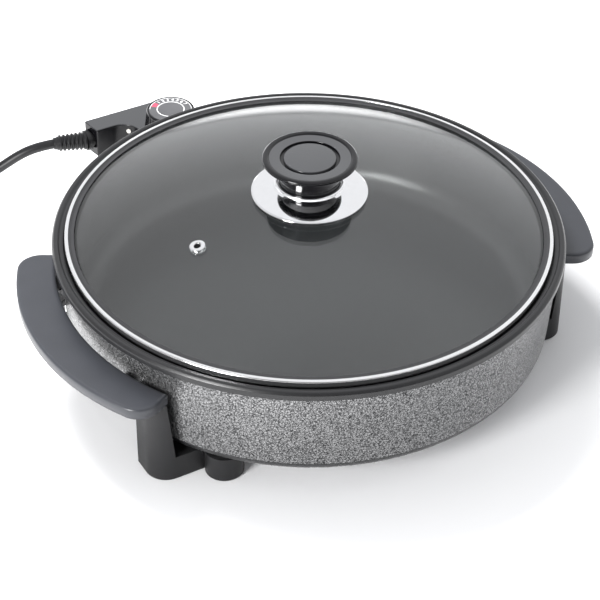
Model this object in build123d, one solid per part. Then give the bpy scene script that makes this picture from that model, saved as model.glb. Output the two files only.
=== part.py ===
from build123d import *
import math
import os

# Lidded electric griddle pan: cast pan on four legs, glass lid, plug-in thermostat and mains lead.
# Millimetres. Origin on the floor under the pan's axis, +Z up, handles along X, controller at +Y.

# ---------------------------------------------------------------- driving dimensions
RIM_R = 170.0            # outer radius of the pan's rim
RIM_Z = 92.5             # top of the rim
WALL_TOP_R = 166.4       # outer wall under the rim
WALL_LOW_R = 162.1       # outer wall extended down to the underside
BASE_Z = 19.0            # underside of the casting
FLOOR_Z = 24.5           # cooking surface
BOWL_TOP_R = 159.0       # inner wall at the lid ledge
BOWL_LOW_R = 157.3       # inner wall at the cooking surface
LEDGE_Z = 85.2           # ledge that the lid rests on
SHROUD_SCREW_X = 29.0    # half the spacing of the terminal shroud's screws
BAND_R = 161.5           # outside of the lid's steel band
BAND_TOP_Z = 95.0
BAND_LOW_Z = 85.5
APEX_Z = 123.5           # top of the glass
DOME_R = 413.0           # radius of the glass's upper sphere
GLASS = 4.0
DOME_Z = APEX_Z - DOME_R
VENT_X, VENT_Y = -87.5, -9.0
COLLAR_R = 22.9          # rolled collar of the knob's skirt
HEAD_R = 31.1            # widest edge of the knob
HEAD_Z = 148.2           # flat top of the knob
GROOVE_R = (17.1, 19.4)  # groove round the knob's cap
SCREW_R = 1.6            # M4 screws, drawn at the thread's root
SCREW_HEAD_R = 3.7
GRIP_TOP_Z = 70.5
GRIP_LOW_Z = 62.5
GRIP_ARC_R = 169.5       # outer edge of a grip
GRIP_SHIFT = 27.5        # how far that arc's centre lies towards the grip
GRIP_INNER_R = 168.8
GRIP_END = 29.3          # degrees from X to a grip's radial end
GRIP_CORNER = 15.0
LEG_X = (149.0, 158.5)   # inner and outer face of a leg's upright under the grip
LEG_Y = (56.5, 84.4)     # far and near side of a leg
LEG_TOP_Z = 62.2
LEG_CORNER = 14.0        # rounding of the upright's near outer edge
LEG_ROUND = 2.0          # rounding of its far outer edge
LEG_DRAFT = 4.6          # how far the upright's inner face leans in at the arm
LEG_WALL_R = 165.6       # clearance round the pan's wall
TONGUE_R = 170.2         # tongue that keys a grip to a leg
TONGUE_ANGLE = 25.5
LEG_FOOT = (113.2, 90.6)  # centre of the round foot at the end of a leg's arm
FOOT_R = 12.6
ARM_Z = 18.0             # top of a leg's arm
SOLE_Z = 0.6             # underside of the leg's plastic, just clear of the floor
TAB_Y = 49.5             # casting tab that carries a grip's screw
TAB_X = 169.0
PIN_X = 10.5             # half the spacing of the terminal pins
PIN_Z = 41.0
PIN_R = 2.4
ELEMENT_R = 3.3
ELEMENT_RING_R = 95.0
ELEMENT_Z = 15.2
PROBE_Z = 36.0
PROBE_R = 2.9
SHROUD_Y = (172.0, 183.0)
BOX_X = (-19.75, 19.75)  # controller's radial block
BOX_Y = (175.0, 249.0)
BOX_Z = (29.0, 52.0)
ARM_END_X = -50.6        # end of the controller's cable arm
ARM_SLANT = 2.8          # how far that end is cut back at its near side
ARM_Y = 232.4            # near side of the cable arm
ARM_FILLET = 14.0
SKIN = 2.2               # controller's wall
SPLIT_Z = 41.0           # joint between the two covers
DIAL_Y = 204.0
DIAL_TOP_Z = 72.0
DIAL_LOW_Z = 52.6
DIAL_FACE_R = 16.0
SHAFT_R = 3.0
CORD_R = 3.7
CORD_AXIS = (241.0, 40.0)  # y and z of the lead where it leaves the arm
RELIEF_L = 25.8
RELIEF_DIR = (-24.9, 6.3, 1.0)
COIL_C = (-195.2, 265.1)
COIL_MID_R = 37.4
PLUG_R = 18.5
PLUG_REAR_Y = 218.6
PLUG_X = -238.0
PLUG_L = 38.0
PLUG_PIN_X = 9.5         # half the spacing of the plug's pins
COVER_SCREWS = [(13.5, 224.0), (13.5, 243.0), (-29.0, 242.6)]

# Route of the lead from the strain relief to the coil, and from the coil to the plug.
LEAD_ROUTE = [
    (-77.0, 247.3, 41.0), (-88.5, 250.4, 40.1), (-101.2, 253.9, 35.8), (-114.0, 258.8, 26.8),
    (-127.0, 266.4, 15.6), (-140.8, 275.9, 7.2), (-154.7, 286.15, 3.9), (-170.5, 298.0, 3.7),
]
TAIL_ROUTE = [
    (-236.3, 265.1, 11.1), (-236.9, 248.6, 12.3), (-237.8, 233.1, 16.0), (PLUG_X, PLUG_REAR_Y, 18.2),
]

# Two conductors from the cord clamp to the contact sleeves, round the thermostat.
INTERNAL_WIRES = [
    [(-40.0, 240.8, 43.5), (-15.0, 231.0, 43.5), (-15.0, 198.0, 42.5), (-12.3, 193.8, 41.0)],
    [(-40.0, 238.0, 38.0), (-20.0, 236.5, 38.0), (-6.0, 218.5, 38.0), (14.5, 217.7, 38.0),
     (14.5, 200.0, 39.0), (12.5, 193.8, 41.0)],
]

nodes = {}


# ---------------------------------------------------------------- helpers
def lathe(*outline, rounds=()):
    """Turn an (r, z) outline about the Z axis; rounds lists (corner, radius) pairs."""
    face = make_face(Polyline(*outline, close=True))
    for corner, radius in rounds:
        vertex = face.vertices().sort_by_distance(Vector(*corner))[0]
        face = fillet(vertex, radius)
    return revolve(Plane.XZ * face, Axis.Z)


def rod(radius, length, at, direction=(0, 0, 1)):
    """Cylinder from the point at, along direction."""
    return extrude(Plane(origin=at, z_dir=direction) * Circle(radius), length)


def tube(outer, inner, length, at, direction=(0, 0, 1)):
    return rod(outer, length, at, direction) - rod(inner, length, at, direction)


def block(x, y, z):
    """Box between the given x, y and z limits."""
    size = [limits[1] - limits[0] for limits in (x, y, z)]
    middle = [(limits[0] + limits[1]) / 2 for limits in (x, y, z)]
    return Pos(*middle) * Box(*size)


def four(piece):
    """The piece and its mirror images across X and Y."""
    pair = [piece, mirror(piece, Plane.YZ)]
    return pair + [mirror(each, Plane.XZ) for each in pair]


def group(pieces):
    return Compound(children=[Part() + piece for piece in pieces])


def screw(at, direction, length, head=2.4):
    """Pan-head screw: the head's seat is at the point at, the shank runs along direction."""
    back = tuple(-value for value in direction)
    return rod(SCREW_R, length, at, direction) + rod(SCREW_HEAD_R, head, at, back)


def rounded_route(points, radius, name):
    """Tube of straight runs and tangent arcs; each arc is as large as its two runs allow."""
    places = [Vector(*point) for point in points]
    radii = []
    for before, here, after in zip(places, places[1:], places[2:]):
        half_turn = math.radians((here - before).get_angle(after - here)) / 2
        shorter = min((here - before).length, (after - here).length)
        radii.append(0.45 * shorter / math.tan(half_turn))
    path = FilletPolyline(*points, radius=radii)
    solid = sweep(Plane(origin=path @ 0, z_dir=path % 0) * Circle(radius), path)
    drift = solid.volume / (math.pi * radius ** 2 * path.length) - 1
    print(name, "length", round(path.length, 1), "radii", [round(r) for r in radii],
          "volume off by", round(drift, 5))
    return solid


# ---------------------------------------------------------------- pan body
def pan_vessel():
    body = lathe(
        (0, BASE_Z), (WALL_LOW_R, BASE_Z), (WALL_TOP_R, 86.6), (169.4, 86.6), (RIM_R, 87.2),
        (RIM_R, 90.3), (168.4, RIM_Z), (166.4, RIM_Z), (164.6, 91.2), (163.4, 91.2), (162.3, 90.0),
        (162.3, LEDGE_Z), (BOWL_TOP_R, LEDGE_Z), (BOWL_LOW_R, FLOOR_Z), (0, FLOOR_Z),
        rounds=(((WALL_LOW_R, BASE_Z), 14), ((BOWL_LOW_R, FLOOR_Z), 16), ((168.4, RIM_Z), 1.2)),
    )
    for boss in four(rod(8, 1.4, (*LEG_FOOT, 18.2))):
        body += boss
    body += block((-6.3, 6.3), (158.5, 171.0), (29.0, 43.0))          # boss with the probe's well
    body -= rod(PROBE_R + 0.06, 12.0, (0, 171.0, PROBE_Z), (0, -1, 0))
    for side in (-1, 1):
        body += rod(5.0, 12.0, (side * SHROUD_SCREW_X, 160.0, PIN_Z), (0, 1, 0))  # pillars for the shroud
        body -= rod(SCREW_R, 9.0, (side * SHROUD_SCREW_X, 172.0, PIN_Z), (0, -1, 0))
    channel = ELEMENT_RING_R - 5.6, ELEMENT_RING_R + 5.6            # cast round the heating element
    body += lathe((channel[0], BASE_Z + 0.3), (channel[0], 13.6), (channel[0] + 1.2, 12.6),
                  (channel[1] - 1.2, 12.6), (channel[1], 13.6), (channel[1], BASE_Z + 0.3))
    body -= heating_element()
    for tab in four(block((155.0, 178.0), (TAB_Y - 5.5, TAB_Y + 5.5), (57.0, 62.3))):
        body += tab
    for hole in four(rod(SCREW_R, 8.0, (TAB_X, TAB_Y, 56.0))):
        body -= hole
    for hole in four(rod(SCREW_R, 5.8, (*LEG_FOOT, 18.0))):
        body -= hole
    return body


def heating_element():
    """Sheathed ring under the casting with two legs that rise to the terminals."""
    turn = 12.0              # bend from the ring into each leg
    rise_y = 167.4           # legs rise just outside the wall
    low_bend, high_bend = 17.6, 7.6
    bend_x = PIN_X + turn
    bend_y = math.sqrt((ELEMENT_RING_R + turn) ** 2 - bend_x ** 2)
    share = ELEMENT_RING_R / (ELEMENT_RING_R + turn)
    z = ELEMENT_Z
    corner = math.sqrt(0.5)

    def leg(side):
        joint = (side * bend_x * share, bend_y * share, z)
        start = math.atan2(joint[1] - bend_y, abs(joint[0]) - bend_x) % (2 * math.pi)
        middle = (start + math.pi) / 2
        waypoint = (side * (bend_x + turn * math.cos(middle)), bend_y + turn * math.sin(middle), z)
        x = side * PIN_X
        foot = rise_y - low_bend
        top = PIN_Z - high_bend
        return joint, [
            ThreePointArc(joint, waypoint, (x, bend_y, z)),
            Line((x, bend_y, z), (x, foot, z)),
            ThreePointArc((x, foot, z), (x, foot + low_bend * corner, z + low_bend * (1 - corner)),
                          (x, rise_y, z + low_bend)),
            Line((x, rise_y, z + low_bend), (x, rise_y, top)),
            ThreePointArc((x, rise_y, top),
                          (x, rise_y + high_bend * (1 - corner), top + high_bend * corner),
                          (x, rise_y + high_bend, PIN_Z)),
            Line((x, rise_y + high_bend, PIN_Z), (x, 177.0, PIN_Z)),
        ]

    left_joint, left = leg(-1)
    right_joint, right = leg(1)
    ring = ThreePointArc(left_joint, (0, -ELEMENT_RING_R, z), right_joint)
    path = Wire([edge.edge() for edge in left + [ring] + right])
    start = Plane(origin=(-PIN_X, 177.0, PIN_Z), z_dir=(0, -1, 0))
    return sweep(start * Circle(ELEMENT_R), path)


def terminal(side):
    pin = rod(PIN_R, 13.0, (side * PIN_X, 177.0, PIN_Z), (0, 1, 0))
    return chamfer(pin.faces().sort_by(Axis.Y)[-1].edges(), 0.8)


def socket_shroud():
    frame = block((BOX_X[0] - 2.9, BOX_X[1] + 2.9), SHROUD_Y, (26.1, 54.9))
    frame += block((-35.0, 35.0), (172.0, 174.7), (35.0, 47.0))
    frame -= block((BOX_X[0] - 0.3, BOX_X[1] + 0.3), (174.7, 184.0), (28.7, 52.3))
    for side in (-1, 1):
        frame -= rod(ELEMENT_R + 0.3, 4.0, (side * PIN_X, 171.5, PIN_Z), (0, 1, 0))
        frame -= block((side * PIN_X - 3.6, side * PIN_X + 3.6), (171.5, 174.8), (34.0, PIN_Z))
        frame -= rod(SCREW_R + 0.2, 4.0, (side * SHROUD_SCREW_X, 171.5, PIN_Z), (0, 1, 0))
    frame -= rod(PROBE_R + 0.4, 4.0, (0, 171.5, PROBE_Z), (0, 1, 0))
    return frame


def tongue(clearance=0.0):
    """Flat key on a grip's underside, or, with a clearance, its slot in the leg."""
    key = Box(2.2 + clearance, 12.0 + clearance, 7.0 + 2 * clearance)
    return Rot(0, 0, TONGUE_ANGLE) * Pos(TONGUE_R, 0, 59.2) * key


def handle_grip():
    end = math.radians(GRIP_END)
    wedge = make_face(Polyline((0, 0), (300 * math.cos(end), 300 * math.sin(end)),
                               (300 * math.cos(end), -300 * math.sin(end)), close=True))
    plan = (Pos(GRIP_SHIFT, 0) * Circle(GRIP_ARC_R) - Circle(GRIP_INNER_R)) & wedge
    for side in (-1, 1):
        corner = Vector(168.0, side * 95.0)
        plan = fillet(plan.vertices().sort_by_distance(corner)[0], GRIP_CORNER)
    grip = extrude(Pos(0, 0, GRIP_LOW_Z) * plan, GRIP_TOP_Z - GRIP_LOW_Z)
    grip = fillet(grip.faces().sort_by(Axis.Z)[-1].edges(), 1.4)
    grip += tongue() + mirror(tongue(), Plane.XZ)
    for y in (-TAB_Y, TAB_Y):
        grip -= rod(SCREW_R, 6.4, (TAB_X, y, 62.0))
    return grip


def leg():
    """L-shaped moulding: an upright outside the wall and an arm under the pan to a round foot."""
    plan = make_face(Polyline((LEG_FOOT[0], LEG_Y[0]), (LEG_X[1], LEG_Y[0]), (LEG_X[1], LEG_Y[1]),
                              (LEG_FOOT[0], LEG_Y[1]), close=True))
    for y, radius in zip(LEG_Y, (LEG_ROUND, LEG_CORNER)):
        plan = fillet(plan.vertices().sort_by_distance(Vector(LEG_X[1], y))[0], radius)
    side = make_face(Polyline((LEG_X[0], LEG_TOP_Z), (LEG_X[1] + 1.0, LEG_TOP_Z), (LEG_X[1] + 1.0, SOLE_Z),
                              (LEG_FOOT[0], SOLE_Z), (LEG_FOOT[0], ARM_Z), (LEG_X[0] - LEG_DRAFT, ARM_Z),
                              close=True))
    piece = extrude(plan, LEG_TOP_Z) & extrude(Plane.XZ.offset(-95.0) * side, 40.0)
    piece -= rod(LEG_WALL_R, 60.0, (0, 0, ARM_Z))
    piece += rod(FOOT_R, ARM_Z - SOLE_Z, (*LEG_FOOT, SOLE_Z))
    piece -= tongue(0.4)
    piece -= rod(9.1, 1.5, (*LEG_FOOT, 0.0))                           # recess for the pad
    piece -= rod(4.2, 6.0, (*LEG_FOOT, 0.5))
    piece -= rod(SCREW_R + 0.2, 20.0, (*LEG_FOOT, 0.5))
    return piece


# ---------------------------------------------------------------- lid
def vent_plane():
    height = DOME_Z + math.sqrt(DOME_R ** 2 - VENT_X ** 2 - VENT_Y ** 2)
    return Plane(origin=(VENT_X, VENT_Y, height), z_dir=(VENT_X, VENT_Y, height - DOME_Z))


def dome(radius, depth=0.0):
    """Solid under the glass's upper sphere, lowered by depth, out to the given radius."""
    ball = Pos(0, 0, DOME_Z) * Sphere(DOME_R - depth)
    return ball & rod(radius, 60.0, (0, 0, 80.0))


def lid_glass():
    glass = dome(160.0) - (Pos(0, 0, DOME_Z) * Sphere(DOME_R - GLASS))
    glass -= rod(4.0, 30.0, (0, 0, 110.0))
    return glass - vent_plane() * Pos(0, 0, -10) * extrude(Circle(3.7), 20)


def lid_rim_band():
    return lathe((157.0, BAND_LOW_Z), (BAND_R - 0.5, BAND_LOW_Z), (BAND_R, BAND_LOW_Z + 0.5),
                 (BAND_R, BAND_TOP_Z - 1.3), (BAND_R - 1.2, BAND_TOP_Z), (159.5, BAND_TOP_Z),
                 (159.0, 94.7), (159.0, 94.4), (160.2, 94.4), (160.9, 93.6), (160.9, 86.1), (157.0, 86.1))


def lid_gasket():
    strip = lathe((155.2, 86.2), (160.8, 86.2), (160.8, 93.5), (160.1, 94.3), (158.7, 94.3),
                  (157.3, 93.7), (155.2, 93.9))
    return strip - (dome(160.05) - (Pos(0, 0, DOME_Z) * Sphere(DOME_R - GLASS)))


def vent_grommet():
    plane = vent_plane()
    return plane * (tube(5.25, 2.2, 1.1, (0, 0, 0.05)) + tube(3.6, 2.2, 4.6, (0, 0, -4.3))
                    + tube(5.0, 2.2, 0.7, (0, 0, -4.8)))


def knob_skirt():
    """Pressed cone over the glass with a rolled collar round the knob's neck."""
    return lathe((4.0, 128.6), (20.2, 128.6), (36.8, 122.1), (37.9, 121.85), (38.3, 122.2), (38.3, 123.2),
                 (37.4, 123.7), (COLLAR_R, 128.9), (COLLAR_R, 130.4), (COLLAR_R - 0.9, 131.2),
                 (20.6, 131.2), (20.6, 129.8), (4.0, 129.8))


def knob_body():
    """Waisted neck under a wide flat head with a raised bead round its edge."""
    return lathe((3.9, 129.8), (20.4, 129.8), (20.4, 133.0), (22.8, 140.6), (26.6, 144.4), (30.3, 146.2),
                 (HEAD_R, 147.2), (HEAD_R, HEAD_Z + 0.2), (HEAD_R - 1.5, HEAD_Z + 1.2),
                 (HEAD_R - 3.3, HEAD_Z + 0.8), (HEAD_R - 4.3, HEAD_Z), (GROOVE_R[1], HEAD_Z),
                 (GROOVE_R[1], 146.4), (GROOVE_R[0], 146.4), (GROOVE_R[0], 144.0), (3.9, 144.0))


def knob_cap():
    radius = GROOVE_R[0] - 0.1
    return lathe((0, 144.0), (radius, 144.0), (radius, HEAD_Z - 0.6), (radius - 0.6, HEAD_Z), (0, HEAD_Z))


# ---------------------------------------------------------------- controller
def controller_plan(inset=0.0):
    """L-shaped plan: the radial block, the cable arm and the hollow corner between them."""
    plan = make_face(Polyline(
        (BOX_X[0] + inset, BOX_Y[0] + inset), (BOX_X[1] - inset, BOX_Y[0] + inset),
        (BOX_X[1] - inset, BOX_Y[1] - inset), (ARM_END_X + inset, BOX_Y[1] - inset),
        (ARM_END_X + ARM_SLANT + inset, ARM_Y + inset), (BOX_X[0] + inset, ARM_Y + inset), close=True))
    hollow = Vector(BOX_X[0] + inset, ARM_Y + inset)
    plan = fillet(plan.vertices().sort_by_distance(hollow)[0], ARM_FILLET + inset)
    plan = fillet(plan.vertices().sort_by_distance(Vector(BOX_X[1], BOX_Y[1]))[0], 4.5 - inset)
    if not inset:
        for x, y in ((ARM_END_X, BOX_Y[1]), (ARM_END_X + ARM_SLANT, ARM_Y)):
            plan = fillet(plan.vertices().sort_by_distance(Vector(x, y))[0], 1.2)
    return plan


def lamp_axis():
    """Point on the hollow corner's wall and the direction that the indicator looks."""
    angle = math.radians(44.0)
    centre = (BOX_X[0] - ARM_FILLET, ARM_Y - ARM_FILLET)
    point = (centre[0] + ARM_FILLET * math.cos(angle), centre[1] + ARM_FILLET * math.sin(angle), 46.6)
    return point, (-math.cos(angle), -math.sin(angle), 0)


def controller_shell():
    shell = extrude(Pos(0, 0, BOX_Z[0]) * controller_plan(), BOX_Z[1] - BOX_Z[0])
    shell = fillet(shell.faces().sort_by(Axis.Z)[-1].edges().sort_by(Axis.Y)[1:], 1.0)
    shell -= extrude(Pos(0, 0, BOX_Z[0] + SKIN) * controller_plan(SKIN), BOX_Z[1] - BOX_Z[0] - 2 * SKIN)
    for side in (-1, 1):
        shell -= rod(4.6, 4.0, (side * PIN_X, 174.0, PIN_Z), (0, 1, 0))
    shell -= rod(PROBE_R + 0.6, 4.0, (0, 174.0, PROBE_Z), (0, 1, 0))
    shell -= rod(5.1, 10.0, (0, DIAL_Y, 46.0))
    shell -= rod(6.1, 6.5, (ARM_END_X - 1.0, *CORD_AXIS), (1, 0, 0))
    point, outward = lamp_axis()
    shell -= Pos(*point) * rod(1.75, 8.0, tuple(-4.0 * value for value in outward), outward)
    for x, y in COVER_SCREWS:
        shell += rod(3.6, 5.5, (x, y, SPLIT_Z - 5.5)) + rod(3.6, 9.2, (x, y, SPLIT_Z))
        shell += rod(4.6, 6.5, (x, y, BOX_Z[0]))
        shell -= rod(SCREW_R, 14.0, (x, y, 33.0))
        shell -= rod(SCREW_HEAD_R + 0.1, 4.8, (x, y, BOX_Z[0] - 0.1))
    return shell


def strain_relief():
    """Flange behind the arm's end wall, a neck through it, and the tapered sleeve outside."""
    y, z = CORD_AXIS
    flange = block((-45.9, -44.6), (y - 4.0, y + 4.0), (z - 7.5, z + 7.5))
    root = rod(7.8, 3.2, (-53.9, y, z), (1, 0, 0))
    cone = Plane(origin=(-52.2, y, z), z_dir=RELIEF_DIR) * Pos(0, 0, RELIEF_L / 2) * Cone(6.9, 5.7, RELIEF_L)
    return flange + rod(6.0, 6.0, (-51.2, y, z), (1, 0, 0)) + root + cone


def coil_solid():
    low, high = 0.0, 4 * CORD_R
    inner, outer = COIL_MID_R - 2 * CORD_R, COIL_MID_R + 2 * CORD_R
    ring = lathe((inner + 2, low), (outer - 2, low), (outer, low + 2), (outer, high - 2),
                 (outer - 2, high), (inner + 2, high), (inner, high - 2), (inner, low + 2))
    return Pos(*COIL_C, 0) * ring


def coil_tie():
    """Band round the bundle of turns, with a slack of a tenth of a millimetre."""
    y = COIL_C[1] + COIL_MID_R
    bundle = 2 * CORD_R + 0.25
    wrap = 1.6
    band = block((COIL_C[0] - 3, COIL_C[0] + 3), (y - bundle - wrap, y + bundle + wrap),
                 (0.0, 4 * CORD_R + 0.1 + wrap))
    slot = block((COIL_C[0] - 4, COIL_C[0] + 4), (y - bundle, y + bundle), (-1.0, 4 * CORD_R + 0.1))
    return band - slot


def plug_body():
    face_y = PLUG_REAR_Y - PLUG_L
    z = PLUG_R
    at = (PLUG_X, face_y, z)
    body = rod(PLUG_R, 17.0, at, (0, 1, 0))
    taper = Plane(origin=(PLUG_X, face_y + 17.0, z), z_dir=(0, 1, 0))
    body += taper * Pos(0, 0, 7.5) * Cone(PLUG_R, 9.0, 15)
    body += taper * Pos(0, 0, 18.0) * Cone(8.0, 4.6, 6)
    for side in (-1, 1):
        body -= Pos(PLUG_X, face_y + 8.0, z + side * PLUG_R) * Box(7.0, 18.0, 4.4)
    return body


# ---------------------------------------------------------------- build every node
def build_pan():
    nodes["pan_vessel"] = pan_vessel()
    nodes["heating_element"] = heating_element()
    nodes["terminal_pins"] = group([terminal(-1), terminal(1)])
    nodes["socket_shroud"] = socket_shroud()
    nodes["socket_screws"] = group(
        [screw((side * SHROUD_SCREW_X, 174.7, PIN_Z), (0, -1, 0), 10.0) for side in (-1, 1)])
    nodes["earth_contact"] = (block((-4.0, 4.0), (174.7, 182.0), (28.7, 28.9))
                              + block((-4.0, 4.0), (174.7, 174.9), (28.7, 32.0)))
    grip = handle_grip()
    nodes["right_handle_grip"] = grip
    nodes["left_handle_grip"] = mirror(grip, Plane.YZ)
    rear_right, rear_left, front_right, front_left = four(leg())
    nodes["rear_right_leg"] = rear_right
    nodes["rear_left_leg"] = rear_left
    nodes["front_right_leg"] = front_right
    nodes["front_left_leg"] = front_left
    nodes["handle_screws"] = group(four(screw((TAB_X, TAB_Y, 57.0), (0, 0, 1), 11.0)))
    nodes["leg_screws"] = group(four(screw((*LEG_FOOT, 6.5), (0, 0, 1), 17.0)))
    nodes["foot_pads"] = group(four(rod(8.9, 1.5, (*LEG_FOOT, 0.0))))


def build_lid():
    nodes["lid_glass"] = lid_glass()
    nodes["lid_rim_band"] = lid_rim_band()
    nodes["lid_gasket"] = lid_gasket()
    nodes["vent_grommet"] = vent_grommet()
    nodes["knob_skirt"] = knob_skirt()
    nodes["knob_spacer"] = tube(15.0, 4.0, 4.5, (0, 0, 124.1))
    nodes["knob_upper_seal"] = tube(12.0, 4.0, 0.6, (0, 0, APEX_Z))
    nodes["knob_lower_seal"] = tube(9.0, 2.3, 1.0, (0, 0, APEX_Z - GLASS - 1.12))
    nodes["knob_washer"] = tube(8.0, 2.3, 1.0, (0, 0, APEX_Z - GLASS - 2.12))
    nodes["knob_screw"] = rod(2.2, 24.0, (0, 0, 117.38)) + rod(4.4, 2.8, (0, 0, 114.58))
    nodes["knob_insert"] = tube(3.9, 2.2, 11.5, (0, 0, 131.0))
    nodes["knob_body"] = knob_body()
    nodes["knob_cap"] = knob_cap()


def build_controller():
    shell = controller_shell()
    nodes["controller_top_cover"] = split(shell, Plane.XY.offset(SPLIT_Z), keep=Keep.TOP)
    nodes["controller_base_cover"] = split(shell, Plane.XY.offset(SPLIT_Z), keep=Keep.BOTTOM)
    probe = rod(PROBE_R, 34.0, (0, 160.0, PROBE_Z), (0, 1, 0))
    nodes["probe_tube"] = fillet(probe.faces().sort_by(Axis.Y)[0].edges(), 1.5)
    nodes["probe_collar"] = tube(4.4, PROBE_R, 2.4, (0, 177.4, PROBE_Z), (0, 1, 0))
    nodes["contact_sleeves"] = group(
        [tube(3.6, PIN_R + 0.05, 13.0, (side * PIN_X, 180.0, PIN_Z), (0, 1, 0)) for side in (-1, 1)])
    nodes["thermostat_frame"] = block((-11.0, 11.0), (194.0, 216.0), (32.0, 43.8)) - rod(
        SHAFT_R + 0.2, 14.0, (0, DIAL_Y, 31.0))
    nodes["contact_blade"] = block((5.5, 9.5), (194.5, 215.0), (43.8, 44.5))
    nodes["shaft_bushing"] = tube(5.0, SHAFT_R + 0.05, 7.4, (0, DIAL_Y, 43.8))
    point, outward = lamp_axis()
    nodes["indicator_lens"] = Pos(*point) * rod(1.7, 3.2, tuple(-2.6 * value for value in outward), outward)
    nodes["neon_lamp"] = Pos(*point) * rod(1.6, 4.0, tuple(-6.8 * value for value in outward), outward)
    nodes["controller_screws"] = group(
        [screw((x, y, BOX_Z[0] + 4.6), (0, 0, 1), 12.0) for x, y in COVER_SCREWS])
    y, z = CORD_AXIS
    nodes["cord_clamp"] = block((-44.4, -40.5), (y - 5.0, y + 1.6), (z - 5.5, z + 5.5))
    nodes["internal_wires"] = group([wire_run(points) for points in INTERNAL_WIRES])
    nodes["strain_relief"] = strain_relief()
    nodes["dial_knob"] = dial_knob()
    nodes["dial_face"] = rod(DIAL_FACE_R, 0.8, (0, DIAL_Y, DIAL_TOP_Z - 0.8))
    nodes["dial_shaft"] = rod(SHAFT_R, 31.0, (0, DIAL_Y, 35.0))


def wire_run(points):
    path = FilletPolyline(*points, radius=3.0)
    return sweep(Plane(origin=path @ 0, z_dir=path % 0) * Circle(1.1), path)


def dial_knob():
    """Hollow cone with a recess for the dial's face and a hub on the shaft."""
    knob = Pos(0, DIAL_Y, (DIAL_LOW_Z + DIAL_TOP_Z) / 2) * Cone(20.5, 17.5, DIAL_TOP_Z - DIAL_LOW_Z)
    knob -= rod(DIAL_FACE_R + 0.1, 1.0, (0, DIAL_Y, DIAL_TOP_Z - 0.8))
    knob -= rod(15.0, 15.4, (0, DIAL_Y, DIAL_LOW_Z - 0.1))
    knob += rod(6.0, 14.4, (0, DIAL_Y, 54.0))
    return knob - rod(SHAFT_R, 14.0, (0, DIAL_Y, 52.0))


def build_cord():
    nodes["cord_tube"] = rounded_route(LEAD_ROUTE, CORD_R, "lead")
    nodes["cord_tail"] = rounded_route(TAIL_ROUTE, CORD_R, "tail")
    nodes["cord_coil"] = coil_solid()
    nodes["cord_tie"] = coil_tie()
    nodes["plug_body"] = plug_body()
    face_y = PLUG_REAR_Y - PLUG_L
    nodes["plug_pins"] = group([rod(2.4, 19.0, (PLUG_X + side * PLUG_PIN_X, face_y, PLUG_R), (0, -1, 0))
                                for side in (-1, 1)])
    nodes["plug_earth_clips"] = group(
        [block((PLUG_X - 2.5, PLUG_X + 2.5), (face_y, face_y + 15.0),
               (PLUG_R + side * 16.6 - 0.3, PLUG_R + side * 16.6 + 0.3)) for side in (-1, 1)])


build_pan()
build_lid()
build_controller()
build_cord()
os.makedirs("parts", exist_ok=True)
for name, shape in nodes.items():
    export_step(shape, f"parts/{name}.step")
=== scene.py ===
import math

import bmesh
import bpy
from mathutils import Matrix, Vector


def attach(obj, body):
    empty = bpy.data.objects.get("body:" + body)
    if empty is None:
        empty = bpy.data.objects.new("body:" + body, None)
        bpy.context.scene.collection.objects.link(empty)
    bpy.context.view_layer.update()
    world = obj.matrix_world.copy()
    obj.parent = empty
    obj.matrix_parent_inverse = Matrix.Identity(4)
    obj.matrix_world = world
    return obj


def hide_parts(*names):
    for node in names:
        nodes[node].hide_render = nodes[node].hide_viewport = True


# Looks for the lidded electric griddle pan. Lengths are written in millimetres and scaled by MM;
# lamps and the floor are in metres.
MM = 0.001
TURN = 2 * math.pi
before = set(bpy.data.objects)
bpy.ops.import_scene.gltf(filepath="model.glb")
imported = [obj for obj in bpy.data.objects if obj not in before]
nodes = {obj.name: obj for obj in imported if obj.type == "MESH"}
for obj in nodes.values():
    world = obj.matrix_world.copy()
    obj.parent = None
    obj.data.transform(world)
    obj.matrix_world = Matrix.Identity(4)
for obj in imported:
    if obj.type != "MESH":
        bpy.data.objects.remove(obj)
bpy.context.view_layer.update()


# ---------------------------------------------------------------- camera, stage and light
CAMERA_AT = Vector((-547, -928, 868)) * MM
CAMERA_AIM = Vector((-10.1, -6.6, 40)) * MM
CAMERA_ROLL = math.radians(0.68)
WORLD_BRIGHT_SIDE = Vector((0.591, 0.462, 0.66))
LAMP_AIM = Vector((0, 0, 0.05))
FLOOR_HALF = 6.0


def look_at(obj, place, aim, roll=0.0):
    turn = (aim - place).to_track_quat("-Z", "Y").to_matrix().to_4x4()
    obj.matrix_world = Matrix.Translation(place) @ turn @ Matrix.Rotation(roll, 4, "Z")


def make_camera():
    data = bpy.data.cameras.new("camera")
    data.lens = 120
    data.sensor_width = 36
    data.clip_start = 0.05
    camera = bpy.data.objects.new("camera", data)
    bpy.context.scene.collection.objects.link(camera)
    look_at(camera, CAMERA_AT, CAMERA_AIM, CAMERA_ROLL)
    bpy.context.scene.camera = camera


def softbox(name, place, size, power, reflected=True):
    """Rectangular lamp aimed at the pan; if not reflected, it lights but is not seen in any surface."""
    data = bpy.data.lights.new(name, "AREA")
    data.shape = "RECTANGLE"
    data.size, data.size_y = size
    data.energy = power
    lamp = bpy.data.objects.new(name, data)
    lamp.visible_glossy = reflected
    lamp.visible_transmission = reflected
    bpy.context.scene.collection.objects.link(lamp)
    look_at(lamp, Vector(place), LAMP_AIM)


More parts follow.
